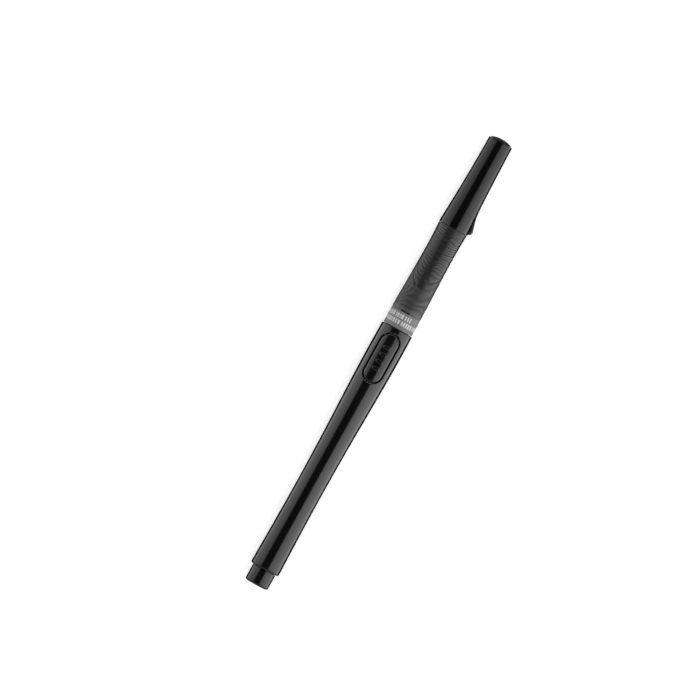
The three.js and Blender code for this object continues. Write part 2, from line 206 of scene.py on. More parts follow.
def outline(node):
    """The profile of a turned CAD node, read along one low meridian of its mesh.

    Gives its (x, radius) corners in order and whether it closes on itself. One that doesn't close
    starts and ends on the axis.
    """
    points = vertices_of(node) - (0, AXIS.y, AXIS.z)
    radius = np.hypot(points[:, 1], points[:, 2])
    turn = np.arctan2(-points[:, 1], points[:, 2])
    on_axis = radius < ON_AXIS
    meridian = turn[~on_axis].max()
    chosen = on_axis | (turn > meridian - SAME_TURN)
    corners = {i: (round(points[i, 0], 6), round(radius[i], 6)) for i in np.flatnonzero(chosen)}
    links = {}
    for edge in frame["nodes"][node].data.edges:
        a, b = (corners.get(i) for i in edge.vertices)
        if a and b and a != b:
            links.setdefault(a, set()).add(b)
            links.setdefault(b, set()).add(a)
    start = min(links, key=lambda corner: (len(links[corner]), corner))
    path = [start]
    ahead = min(links[start])
    while ahead not in (None, start):
        path.append(ahead)
        ahead = next((corner for corner in links[ahead] if corner != path[-2]), None)
    return np.array(path), ahead == start


def rounded(corners, closed, fillet=EDGE):
    """A profile with an arc at each corner.

    A true edge gets a small fillet, with a support point on each long side of it. A blunt corner and
    the short steps of a CAD rounding get a wider arc, and a long curve the widest that fits.
    """
    line = []
    for i, corner in enumerate(corners):
        if not closed and i in (0, len(corners) - 1):
            line.append(corner)
            continue
        sides = [corners[i - 1] - corner, corners[(i + 1) % len(corners)] - corner]
        lengths = [np.linalg.norm(side) for side in sides]
        back, ahead = (side / length for side, length in zip(sides, lengths))
        turn = math.pi - math.acos(np.clip(back @ ahead, -1, 1))
        if turn < STRAIGHT:
            line.append(corner)
            continue
        reach = min(lengths) / 2
        if turn > SHARP_TURN:
            reach = min(0.9 * reach, fillet)
        elif turn > BLUNT_TURN:
            reach = min(reach, SOFT_REACH)
        inwards = (back + ahead) / np.linalg.norm(back + ahead)
        centre = corner + inwards * reach / math.cos((math.pi - turn) / 2)
        start, end = corner + back * reach - centre, corner + ahead * reach - centre
        steps = max(3, math.ceil(turn / ARC_STEP))
        arc = [
            centre + (math.sin(turn - s) * start + math.sin(s) * end) / math.sin(turn)
            for s in np.linspace(0, turn, steps + 1)
        ]
        if turn > SHARP_TURN and lengths[0] > LONG_SIDE * reach:
            arc.insert(0, corner + SUPPORT * reach * back)
        if turn > SHARP_TURN and lengths[1] > LONG_SIDE * reach:
            arc.append(corner + SUPPORT * reach * ahead)
        line.extend(arc)
    return np.array(line)


def resampled(line, first, last, stations):
    """A closed profile whose runs from first to last are drawn again at the given stations.

    Gives the new profile and, for each of its points, the number of its run, or 0 outside them.
    """
    inside = (line[:, 0] > first) & (line[:, 0] < last)
    start = int(np.flatnonzero(~inside & np.roll(inside, -1))[0])
    line, inside = np.roll(line, -start, axis=0), np.roll(inside, -start)
    points, runs, count = [], [], 0
    i = 0
    while i < len(line):
        if not inside[i]:
            points.append(line[i])
            runs.append(0)
            i += 1
            continue
        end = i
        while end < len(line) and inside[end]:
            end += 1
        run = np.vstack([line[i - 1:end], line[end % len(line)]])
        rising = run[-1, 0] > run[0, 0]
        ordered = run if rising else run[::-1]
        drawn = np.column_stack([stations, np.interp(stations, ordered[:, 0], ordered[:, 1])])
        points.extend(drawn if rising else drawn[::-1])
        count += 1
        runs.extend([count] * len(stations))
        i = end
    return np.array(points), np.array(runs)


def ring_faces(rows, columns, loop=False, skip=None):
    """Quads between rows of points that each run right round, but for those that skip(i, j) names."""
    faces = []
    for i in range(rows if loop else rows - 1):
        here, there = i * columns, (i + 1) % rows * columns
        for j in range(columns):
            k = (j + 1) % columns
            if skip is None or not skip(i, j):
                faces.append((here + j, here + k, there + k, there + j))
    return faces


def solid(name, parts, crease=math.radians(50)):
    """One smooth object from parts of (points, faces), joined where they meet."""
    points, faces, count = [], [], 0
    for some, quads in parts:
        some = np.asarray(some).reshape(-1, 3)
        points.extend(some.tolist())
        faces.extend([tuple(corner + count for corner in quad) for quad in quads])
        count += len(some)
    mesh = bpy.data.meshes.new(name)
    mesh.from_pydata(points, [], faces)
    work = bmesh.new()
    work.from_mesh(mesh)
    bmesh.ops.remove_doubles(work, verts=work.verts, dist=WELD)
    bmesh.ops.recalc_face_normals(work, faces=work.faces)
    work.to_mesh(mesh)
    work.free()
    mesh.shade_smooth()
    mesh.set_sharp_from_angle(angle=crease)
    piece = bpy.data.objects.new(name, mesh)
    bpy.context.scene.collection.objects.link(piece)
    return piece


def trimmed(node, shift):
    """The profile of a turned CAD node, with one end of its thickest part moved along the pen."""
    corners, closed = outline(node)
    thick = corners[corners[:, 1] > 0.98 * corners[:, 1].max(), 0]
    end = thick.max() if shift > 0 else thick.min()
    corners[np.abs(corners[:, 0] - end) < SAME_STATION, 0] += shift
    return corners, closed


def turned(name, node, sides=SIDES, fillet=EDGE, shift=0.0):
    """A fine copy of a turned CAD node, with its edges rounded."""
    corners, closed = trimmed(node, shift) if shift else outline(node)
    line = rounded(corners, closed, fillet)
    points = around(line[:, :1], np.arange(sides) * FULL_TURN / sides, line[:, 1:])
    return solid(name, [(points, ring_faces(len(line), sides, closed))])


def torus(name, node, sides=SIDES, around_section=24):
    """A round seal in the place of a CAD node."""
    points = vertices_of(node) - (0, AXIS.y, AXIS.z)
    radius = np.hypot(points[:, 1], points[:, 2])
    ring, thick = (radius.max() + radius.min()) / 2, (radius.max() - radius.min()) / 2
    section = np.arange(around_section)[:, None] * FULL_TURN / around_section
    turns = np.arange(sides) * FULL_TURN / sides
    points = around(middle(node).x + thick * np.sin(section), turns, ring + thick * np.cos(section))
    return solid(name, [(points, ring_faces(around_section, sides, loop=True))])


# ---- openings in a turned shell ------------------------------------------------------------------


def quarter_rim(half, corner, fractions):
    """Points at fractions of the way along a quarter of a rounded rectangle, seen in plan.

    It runs from the middle of the rectangle's end to the middle of its side.
    """
    bend = np.linspace(0, math.pi / 2, 60)
    x = np.hstack([half[0], half[0] - corner[0] * (1 - np.cos(bend)), 0])
    y = np.hstack([0, half[1] - corner[1] * (1 - np.sin(bend)), half[1]])
    length = np.hstack([0, np.cumsum(np.hypot(np.diff(x), np.diff(y)))])
    way = fractions * length[-1]
    return np.column_stack([np.interp(way, length, x), np.interp(way, length, y)])


def whole_rim(quarter):
    """The quarter mirrored into a closed ring of points."""
    side = np.vstack([quarter, (quarter * (-1, 1))[-2::-1]])
    return np.vstack([side, (side * (1, -1))[-2:0:-1]])


class Opening:
    """An opening with a rounded rectangular rim in a turned shell, and the patch of shell round it."""

    def __init__(self, x, turn, half, corner, patch, columns, rows):
        self.x, self.turn, self.half, self.corner = x, turn, np.array(half), np.array(corner)
        self.columns, self.rows = columns, rows  # patch edges: half its columns, half its rows
        self.reach, self.sides = patch
        self.stations = x + np.linspace(-self.reach, self.reach, 2 * rows + 1)
        self.step = FULL_TURN / self.sides
        end = np.column_stack([np.full(columns + 1, self.reach), np.arange(columns + 1) * self.step])
        side = np.column_stack([np.linspace(self.reach, 0, rows + 1), np.full(rows + 1, end[-1, 1])])
        edge = np.vstack([end, side[1:]])
        measured = edge * (1, SHELL_RADIUS)
        length = np.hstack([0, np.cumsum(np.linalg.norm(np.diff(measured, axis=0), axis=1))])
        self.fractions = length / length[-1]
        self.edge = whole_rim(edge)

    def rim(self, grow):
        """The rim grown by a distance, as plan points measured from the opening's middle."""
        return whole_rim(quarter_rim(self.half + grow, self.corner + grow, self.fractions))

    def on_shell(self, plan, radius, drop=0.0):
        """Plan points laid on the shell, and dropped towards the axis."""
        distance = radius(self.x + plan[:, 0])
        up, side = np.sqrt(distance**2 - plan[:, 1]**2) - drop, plan[:, 1]
        return around(self.x + plan[:, 0], self.turn + np.arctan2(side, up), np.hypot(side, up))

    def patch_rows(self, radius, grow, count=14):
        """Rows of points on the shell, from the edge of the patch to the rim."""
        plan = self.rim(grow)
        distance = radius(self.x + plan[:, 0])
        rim = np.column_stack([plan[:, 0], np.arcsin(plan[:, 1] / distance)])
        rows = []
        for share in 1 - (1 - np.linspace(0, 1, count)) ** RIM_CROWDING:
            spot = self.edge * (1 - share) + rim * share
            x = self.x + spot[:, 0]
            rows.append(around(x, self.turn + spot[:, 1], radius(x)))
        return rows

    def lip_rows(self, radius, fillet, steps=5):
        """Rows that round the rim over into the opening's wall."""
        return [
            self.on_shell(self.rim(fillet * (1 - math.sin(a))), radius, fillet * (1 - math.cos(a)))
            for a in np.linspace(0, math.pi / 2, steps + 1)
        ]


def shell_with(name, line, opening, fillet, floor=None):
    """A turned shell with an opening right through it, or with a pocket that has a flat floor."""
    first, last = opening.stations[0], opening.stations[-1]
    line, runs = resampled(line, first, last, opening.stations)
    outer = max(set(runs) - {0}, key=lambda run: line[runs == run, 1].max())
    cut = (runs == outer) | ((runs > 0) & (floor is None))
    turns = opening.turn + np.arange(opening.sides) * opening.step
    points = around(line[:, :1], turns, line[:, 1:])

    def in_patch(i, j):
        near = j < opening.columns or j >= opening.sides - opening.columns
        return near and cut[i] and runs[i] == runs[(i + 1) % len(line)]

    shell = (points, ring_faces(len(line), opening.sides, loop=True, skip=in_patch))

    def radius_of(run):
        chosen = line[runs == run]
        chosen = chosen[np.argsort(chosen[:, 0])]
        return lambda x: np.interp(x, chosen[:, 0], chosen[:, 1])

    outside = radius_of(outer)
    rows = opening.patch_rows(outside, RIM_MARGIN * fillet) + opening.lip_rows(outside, fillet)
    if floor is None:
        rows += opening.patch_rows(radius_of(3 - outer), 0.0)[::-1]
    else:
        rim = opening.rim(0.0)
        for share in (1, 0.6, 0.2, 0):
            plan = rim * share
            spot = np.arctan2(plan[:, 1], floor)
            rows.append(around(opening.x + plan[:, 0], opening.turn + spot, np.hypot(plan[:, 1], floor)))
    patch = (np.array(rows), ring_faces(len(rows), len(rows[0])))
    return solid(name, [shell, patch])


# ---- barrel and pad ------------------------------------------------------------------------------

PAD_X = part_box("push_pad")[1].x - PAD_LENGTH / 2


def with_collar(corners):
    """The barrel's profile with a step in the seam before the band, which lets less light through."""
    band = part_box("band_ring")[0].x
    seam = np.flatnonzero((corners[:, 0] < band) & (corners[:, 0] > band - SEAM_REACH))
    i = seam[corners[seam, 1].argmin()]
    x, radius = corners[i]
    beyond = x + COLLAR_LENGTH
    step = [(x, COLLAR_RADIUS), (beyond, COLLAR_RADIUS), (beyond, radius)]
    if corners[i - 1, 1] < COLLAR_RADIUS:
        step.reverse()
    return np.vstack([corners[:i], step, corners[i + 1:]])


def barrel():
    """The barrel, with the slot for the pad right through its wall."""
    corners, closed = outline("barrel")
    line = rounded(with_collar(corners), closed)
    grow = np.array([PAD_GAP, PAD_GAP])
    half = grow + (PAD_LENGTH / 2, PAD_WIDTH / 2)
    corner = grow + (PAD_END, PAD_WIDTH / 2)
    reach = half[0] + SLOT_MARGIN
    slot = Opening(PAD_X, 0.0, half, corner, (reach, SIDES), columns=34, rows=34)
    return shell_with("barrel_moulding", line, slot, FINE_EDGE)


def rib_height(plan):
    """How far the ribs stand up from the pad at plan points measured from its middle."""
    height = np.zeros(len(plan))
    for i in range(RIB_COUNT):
        x = (i - (RIB_COUNT - 1) / 2) * RIB_PITCH
        straight = (RIB_LENGTH - RIB_WIDTH) / 2
        beyond = np.abs(plan[:, 1]) - straight
        distance = np.hypot(plan[:, 0] - x, np.maximum(beyond, 0))
        share = np.clip((RIB_WIDTH / 2 - distance) / RIB_SLOPE + 0.5, 0, 1)
        height = np.maximum(height, RIB_HEIGHT * share * share * (3 - 2 * share))
    return height


def pad():
    """The push pad: face with ribs, rounded edge, wall and the flange that keeps it in its slot."""
    along, round_end, rings = 64, 52, 40
    straight = PAD_LENGTH / 2 - PAD_END
    barrel_line = rounded(*outline("barrel"))
    outer = barrel_line[barrel_line[:, 1] > BARREL_SKIN]
    outer = outer[np.argsort(outer[:, 0])]

    def barrel_radius(x):
        return np.interp(x, outer[:, 0], outer[:, 1])

    def rim(grow):
        bend = np.linspace(0, math.pi / 2, round_end + 1)[:-1]
        end = [straight + (PAD_END + grow) * np.cos(bend), (PAD_WIDTH / 2 + grow) * np.sin(bend)]
        side = [np.linspace(straight, 0, along + 1), np.full(along + 1, PAD_WIDTH / 2 + grow)]
        return whole_rim(np.hstack([end, side]).T)

    def laid(plan, radius, extra=0.0):
        """Plan points laid on a round surface, and raised from it."""
        up = np.sqrt(np.maximum(radius**2 - plan[:, 1]**2, 0)) + extra
        return around(PAD_X + plan[:, 0], np.arctan2(plan[:, 1], up), np.hypot(plan[:, 1], up))

    def face(plan, drop):
        return laid(plan, barrel_radius(PAD_X + plan[:, 0]) - PAD_SINK, rib_height(plan) - drop)

    def shoulder_drop(inset):
        return (1 - inset) * PAD_SHOULDER * math.tan(PAD_SLOPE) + PAD_FACE_DROP

    rows = []
    inner = rim(-PAD_SHOULDER - 0.08 * MM)
    spine = np.column_stack([np.clip(inner[:, 0], -straight, straight), np.zeros(len(inner))])
    for share in np.linspace(0, 1, rings):
        rows.append(face(spine + (inner - spine) * share, 0.0))
    for inset, part in PAD_SHOULDER_ROWS:
        rows.append(face(rim(-PAD_SHOULDER * inset), shoulder_drop(inset) * part))
    edge_drop = shoulder_drop(PAD_EDGE / PAD_SHOULDER)
    bend = PAD_EDGE / (1 - math.sin(PAD_SLOPE))
    for a in np.linspace(PAD_SLOPE, math.pi / 2, 7)[1:]:
        rounding = bend * (math.cos(PAD_SLOPE) - math.cos(a))
        rows.append(face(rim(-bend * (1 - math.sin(a))), edge_drop + rounding))
    rows.append(laid(rim(0.0), PAD_FLANGE_TOP))
    stretch = ((PAD_LENGTH / 2 - PAD_FLANGE_SHIFT) / (PAD_LENGTH / 2), PAD_FLANGE_WIDTH)
    flange = rim(0.0) * stretch - (PAD_FLANGE_SHIFT, 0)
    rows.append(laid(flange, PAD_FLANGE_TOP))
    for share in (1, 0.6, 0.3, 0):
        rows.append(laid(spine + (flange - spine) * share, PAD_UNDERSIDE))
    return solid("push_pad_moulding", [(np.array(rows), ring_faces(len(rows), len(inner)))])


# ---- band and grip -------------------------------------------------------------------------------


def print_row(name, x, first, last, seed):
    """A row of plain printed bars round the band, thin curved plates with rounded corners."""
    random = np.random.default_rng(seed)
    low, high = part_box("band_ring")
    radius = (high.z - low.z) / 2
    parts = []
    turn = first
    while turn < last:
        width = random.uniform(*BAR_WIDTHS) * MM
        half = np.array([BAR_HEIGHT / 2, width / 2])
        fractions = np.linspace(0, 1, 9)
        rows = []
        for shrink, lift in BAR_ROWS:
            plan = whole_rim(quarter_rim(half - shrink * MM, BAR_CORNER, fractions))
            rows.append(around(x + plan[:, 0], turn + plan[:, 1] / radius, radius + lift * MM))
        plan = whole_rim(quarter_rim(half * 0.05, (0.01 * MM, 0.01 * MM), fractions))
        rows.append(around(x + plan[:, 0], turn + plan[:, 1] / radius, radius + BAR_LIFT))
        parts.append((np.array(rows), ring_faces(len(rows), len(plan))))
        turn += (width + random.uniform(*BAR_GAPS) * MM) / radius
    return solid(name, parts)


def contour(x, turn, radius):
    """Height field whose level lines are the grip's ridges: bent rings about a spot on the far side.

    How the rings bend and sway is given by the numbers below.
    """
    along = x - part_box("grip_sleeve")[0].x - WHORL_STATION
    bend = (turn - WHORL_TURN) % FULL_TURN
    across = 2 * radius * np.sin((bend + 0.9 * np.sin(bend)) / 2)
    sway = 0.3 * MM * np.sin(2 * turn + along / (3.1 * MM)) * np.sin(along / (5.5 * MM) + 0.8)
    swirl = 0.16 * MM * np.sin(5 * turn - along / (1.9 * MM) + 1.7)
    return np.sqrt(along**2 + (1.1 * across)**2 + (1.2 * MM)**2) + sway + swirl


def grip():
    """The grip sleeve: turned, with its outside drawn again on a fine grid that carries the relief."""
    low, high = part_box("grip_sleeve")
    rear = low.x - SEAM_TRIM
    line = rounded(*outline("grip_sleeve"), CRISP_EDGE)
    bore = line[:, 1].min()
    outside = line[line[:, 1] > (bore + line[:, 1].max()) / 2]
    outside = outside[np.argsort(outside[:, 0])]
    turns = np.arange(GRIP_SIDES) * FULL_TURN / GRIP_SIDES
    x = np.arange(rear + GRIP_EDGE, high.x - GRIP_EDGE, GRIP_STEP)[:, None]
    radius = np.interp(x, outside[:, 0], outside[:, 1])
    field = contour(x, turns, radius)
    groove = (0.5 + 0.5 * np.cos(FULL_TURN * field / RIDGE_PITCH)) ** GROOVE_SHARPNESS
    swell = 0.5 + 0.5 * np.cos(FULL_TURN * field / SWELL_PITCH)
    from_rear, from_front = x - low.x, high.x - x
    relief = np.clip((from_rear - GRIP_RIM) / GRIP_RIM_BLEND, 0, 1)
    relief = relief * np.clip(from_front / GRIP_FRONT_BLEND, 0, 1)
    ring = np.zeros_like(x)
    for at, strength in GRIP_RINGS:
        ring = np.maximum(ring, strength * np.exp(-((from_rear - at) / GRIP_RING_WIDTH) ** 2))
    sunk = (RIDGE_HEIGHT * groove * (0.4 + 0.6 * swell) + SWELL_HEIGHT * swell) * relief * (1 - ring)
    surface = radius - sunk
    side = surface * np.sin(turns - KEY_TURN)
    in_key = (x < rear + KEY_LENGTH) & (np.abs(side) < KEY_WIDTH / 2) & (np.cos(turns) > 0)
    surface = np.where(in_key, KEY_FLOOR / np.maximum(np.cos(turns - KEY_TURN), 0.5), surface)
    ends = [
        (high.x, surface[-1] - GRIP_EDGE), (high.x, np.full(GRIP_SIDES, bore)),
        (rear, np.full(GRIP_SIDES, bore)), (rear, surface[0] - GRIP_EDGE),
    ]
    rows = [*around(x, turns, surface), *(around(station, turns, r) for station, r in ends)]
    piece = solid("grip_moulding", [(np.array(rows), ring_faces(len(rows), GRIP_SIDES, loop=True))])
    plain = np.zeros((len(ends), GRIP_SIDES))
    # The groove value is painted shade: it darkens the grooves, and the key notch's floor most of all.
    mark(piece, "groove", np.vstack([np.where(in_key, KEY_PAINTED_SHADE, groove * relief), plain]))
    mark(piece, "ring", np.vstack([np.broadcast_to(ring, groove.shape), plain]))
    return piece


def mark(piece, name, values):
    """Keeps a number at each point of a mesh, for its material."""
    attribute = piece.data.attributes.new(name, "FLOAT", "POINT")
    attribute.data.foreach_set("value", values.ravel().astype(np.float32))


# ---- cap and clip --------------------------------------------------------------------------------

CLIP_FLEX = next(joint for joint in frame["joints"] if joint["name"] == "clip_flex")
CLIP_TURN = math.atan2(AXIS.y - CLIP_FLEX["pos_m"][1], CLIP_FLEX["pos_m"][2] - AXIS.z)


def cap():
    """The cap's shell, with a pocket for the root of the clip."""
    line = rounded(*trimmed("cap_shell", -SEAM_TRIM))
    half = np.array([CLIP_ROOT_LENGTH / 2 + CLIP_ROOT_GAP, CLIP_WIDTH / 2 + CLIP_ROOT_GAP])
    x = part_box("cap_clip")[1].x - CLIP_ROOT_LENGTH / 2
    reach = half[0] + NOTCH_MARGIN
    notch = Opening(x, CLIP_TURN, half, NOTCH_CORNER, (reach, SIDES), columns=12, rows=8)
    return shell_with("cap_moulding", line, notch, NOTCH_EDGE, floor=NOTCH_FLOOR)


def clip_edges(stations):
    """Heights above the axis of the clip's outer and inner side at some stations, from the CAD."""
    mesh = frame["nodes"]["cap_clip"].data
    points = vertices_of("cap_clip") - (0, AXIS.y, AXIS.z)
    cosine, sine = math.cos(CLIP_TURN), math.sin(CLIP_TURN)
    upright = np.column_stack([
        points[:, 0],
        points[:, 1] * cosine + points[:, 2] * sine,
        points[:, 2] * cosine - points[:, 1] * sine,
    ])
    tree = BVHTree.FromPolygons([Vector(p) for p in upright], [tuple(p.vertices) for p in mesh.polygons])
    outer, inner = [], []
    for x in stations:
        outer.append(tree.ray_cast(Vector((x, 0, 20 * MM)), Vector((0, 0, -1)))[0].z)
        inner.append(tree.ray_cast(Vector((x, 0, 0)), Vector((0, 0, 1)))[0].z)
    return np.array(outer), np.array(inner)


def clip():
    """The clip as one loft: root, slim arm, flare and ball."""
    low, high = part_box("cap_clip")
    ball_x = low.x + CLIP_BALL
    root_x = high.x - CLIP_ROOT_LENGTH
    arm = np.arange(ball_x + 0.9 * MM, root_x - 0.1 * MM, CLIP_STEP)
    kernel = np.hanning(CLIP_SMOOTHING + 2)[1:-1]
    kernel /= kernel.sum()
    margin = CLIP_SMOOTHING // 2
    outer, inner = (
        np.convolve(np.pad(edge, margin, mode="reflect", reflect_type="odd"), kernel, "valid")
        for edge in clip_edges(arm)
    )
    ball_outer, ball_inner = clip_edges([ball_x])
    ball_height = (ball_outer[0] + ball_inner[0]) / 2
    sections = []  # station, height of the middle, half width, half height, squareness (2 is an oval)
    for a in np.linspace(0, CLIP_BALL_END, 20):
        size = CLIP_BALL * math.sin(a)
        sections.append((ball_x - CLIP_BALL * math.cos(a), ball_height, size, size, 2.0))
    for x, top, bottom in zip(arm, outer, inner):
        share = min((x - ball_x) / CLIP_FLARE, 1.0)
        share = share * share * (3 - 2 * share)
        half_width = CLIP_BALL * 0.94 * (1 - share) + CLIP_WIDTH / 2 * share
        if x > sections[-1][0]:
            sections.append((x, (top + bottom) / 2, half_width, (top - bottom) / 2, 2.2 + 2.3 * share))
    root_outer, root_inner = clip_edges([root_x + 0.05 * MM, high.x - 0.05 * MM])
    for x, top, bottom, shrink in (
        (root_x, root_outer[0], root_inner[0], 0.0),
        (high.x - 0.12 * MM, root_outer[1], root_inner[1], 0.0),
        (high.x - 0.03 * MM, root_outer[1], root_inner[1], 0.03 * MM),
        (high.x, root_outer[1], root_inner[1], 0.12 * MM),
    ):
        size = (top - bottom) / 2 - shrink
        sections.append((x, (top + bottom) / 2, CLIP_WIDTH / 2 - shrink, size, 4.5))
    rows = []
    bend = np.arange(CLIP_POINTS) * FULL_TURN / CLIP_POINTS
    for x, height, half_width, half_height, power in sections:
        side = half_width * np.sign(np.cos(bend)) * np.abs(np.cos(bend)) ** (2 / power)
        up = height + half_height * np.sign(np.sin(bend)) * np.abs(np.sin(bend)) ** (2 / power)
        rows.append(around(x, CLIP_TURN + np.arctan2(side, up), np.hypot(side, up)))
    rows.append(np.repeat(rows[-1].mean(axis=0)[None], CLIP_POINTS, axis=0))
    return solid("pocket_clip", [(np.array(rows), ring_faces(len(rows), CLIP_POINTS))])


# ---- tuft ----------------------------------------------------------------------------------------


def tuft():
    """The bristle tuft: a grooved core, and single bristles that stand a little proud of it."""
    random = np.random.default_rng(11)
    line = rounded(*outline("brush_head"))
    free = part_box("brush_collar")[1].x
    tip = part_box("brush_head")[1].x
    spread = line[np.argsort(line[:, 0], kind="stable")]

    def radius_at(x):
        return np.interp(x, spread[:, 0], spread[:, 1])

    shank = line[line[:, 0] < free - 0.3 * MM]
    stations = np.linspace(free - 0.25 * MM, tip, TUFT_ROWS)
    length = tip - free
    turns = np.arange(TUFT_SIDES) * FULL_TURN / TUFT_SIDES
    way = np.clip((stations - free) / length, 0, 1)[:, None]
    locks = np.abs(np.sin(21 * turns + 2.2 * way + 0.6 * np.sin(5 * turns)))
    groove = 0.05 * locks + 0.025 * np.abs(np.sin(47 * turns + 1.3))
    radius = radius_at(stations)[:, None] * (1 - 0.8 * groove * (way > 0))
    core = around(stations[:, None], turns, radius)
    rows = np.concatenate([around(shank[:, :1], turns, shank[:, 1:]), core])
    parts = [(rows, ring_faces(len(rows), len(turns)))]
    corners_around = np.arange(BRISTLE_SIDES) * FULL_TURN / BRISTLE_SIDES
    for i in range(BRISTLES):
        start = (i + random.uniform(-0.35, 0.35)) * FULL_TURN / BRISTLES
        end = free + length * (1 - 0.55 * random.random() ** 1.6)
        drift = random.uniform(-0.12, 0.12)
        lift = random.uniform(0.0, 0.022) * MM
        share = np.linspace(0, 1, BRISTLE_ROWS)[:, None]
        x = free - BRISTLE_ROOT + (end - free + BRISTLE_ROOT) * share
        thick = BRISTLE_RADIUS * (1 - share) ** 0.5 + BRISTLE_TIP
        from_axis = radius_at(x) + lift * share + thick * np.cos(corners_around) - 0.01 * MM
        turn = start + drift * share + thick * np.sin(corners_around) / np.maximum(radius_at(x), 0.1 * MM)
        hair = around(x, turn, np.maximum(from_axis, 0.002 * MM))
        last = BRISTLE_SIDES * (BRISTLE_ROWS - 1)
        ends = [tuple(range(BRISTLE_SIDES)), tuple(range(last, last + BRISTLE_SIDES))]
        parts.append((hair, ring_faces(BRISTLE_ROWS, BRISTLE_SIDES) + ends))
    for points, _ in parts:
        bend = np.clip((points[..., 0] - free) / length, 0, 1) ** 2
        points[..., 1] -= TUFT_BEND * bend
    return solid("brush_tuft", parts)


# ---- materials -----------------------------------------------------------------------------------


class Finish:
    """A material made of nodes. It is placed by the object's own coordinates, which are in metres."""

    def __init__(self, name, **constants):
        self.material = bpy.data.materials.new(name)
        self.material.use_nodes = True
        self.tree = self.material.node_tree
        self.shader = self.tree.nodes["Principled BSDF"]
        for socket, value in constants.items():
            self.shader.inputs[socket.replace("_", " ")].default_value = value
        self.place = self.add("TexCoord").outputs["Object"]

    def add(self, kind, properties=(), **inputs):
        node = self.tree.nodes.new("ShaderNode" + kind)
        for key, value in dict(properties).items():
            setattr(node, key, value)
        for socket, value in inputs.items():
            self.put(node.inputs[socket.replace("_", " ")], value)
        return node

    def put(self, socket, value):
        if isinstance(value, bpy.types.NodeSocket):
            self.tree.links.new(value, socket)
        else:
            socket.default_value = value

    def noise(self, size, detail=3.0, stretch=(1, 1, 1), roughness=0.5):
        """Noise whose blobs are about so many millimetres wide, times the stretch along each axis."""
        scale = tuple(1000 / (size * s) for s in stretch)
        moved = self.add("Mapping", Vector=self.place, Scale=scale).outputs["Vector"]
        noise = self.add("TexNoise", Vector=moved, Scale=1.0, Detail=detail, Roughness=roughness)
        return noise.outputs["Fac"]

    def between(self, value, start, end, low, high):
        """Turns start..end of a value into low..high."""
        return self.add(
            "MapRange", Value=value, From_Min=start, From_Max=end, To_Min=low, To_Max=high
        ).outputs["Result"]

    def tones(self, value, dark, light):
        """A grey or colour that goes from dark to light as the value goes from 0 to 1."""
        ramp = self.add("ValToRGB", Fac=value)
        for element, tone in zip(ramp.color_ramp.elements, (dark, light)):
            element.color = tone if len(tone) == 4 else (*tone, 1)
        return ramp.outputs["Color"]

    def math(self, operation, *values):
        node = self.add("Math", {"operation": operation})
        for socket, value in zip(node.inputs, values):
            self.put(socket, value)
        return node.outputs[0]

    def attribute(self, name):
        return self.add("Attribute", {"attribute_name": name}).outputs["Fac"]

    def colour(self, value):
        self.put(self.shader.inputs["Base Color"], value)

    def roughness(self, value):
        self.put(self.shader.inputs["Roughness"], value)

    def bump(self, height, depth, under=None):
        """A relief of so many millimetres, laid over another."""
        node = self.add("Bump", Height=height, Strength=1.0, Distance=depth * MM)
        if under is not None:
            self.put(node.inputs["Normal"], under)
        self.put(self.shader.inputs["Normal"], node.outputs["Normal"])
        return node.outputs["Normal"]


def grey(value, tint=0.0):
    """A grey, a little cooler with a positive tint."""
    return (value * (1 - tint), value, value * (1 + tint))


def gloss_plastic(name, tone, roughness, wear=0.08, ior=1.5):
    """Polished dark moulding: slight mould flow, hairline scratches along the pen, faint orange peel."""
    finish = Finish(name, IOR=ior)
    flow = finish.noise(5, stretch=(4, 1, 1))
    finish.colour(finish.tones(flow, grey(tone * 0.8), grey(tone * 1.25)))
    hairs = finish.noise(0.12, detail=2, stretch=(60, 1, 1))
    scratch = finish.between(hairs, 0.66, 0.76, 0.0, wear)
    smudge = finish.between(finish.noise(9, detail=4), 0.35, 0.75, roughness * 0.9, roughness * 1.2)
    finish.roughness(finish.math("ADD", smudge, scratch))
    peel = finish.bump(finish.noise(1.6, detail=1), 0.0006)
    finish.bump(hairs, 0.0004, under=peel)
    return finish.material


def satin_plastic(name, tone, roughness, grain=0.003, size=0.16):
    """Spark eroded moulding with a fine even grain."""
    finish = Finish(name, IOR=1.48)
    speckle = finish.noise(size, detail=3, roughness=0.6)
    finish.colour(finish.tones(speckle, grey(tone * 0.85), grey(tone * 1.15)))
    patches = finish.noise(6, detail=3)
    finish.roughness(finish.between(patches, 0.3, 0.7, roughness * 0.92, roughness * 1.08))
    finish.bump(speckle, grain)
    return finish.material


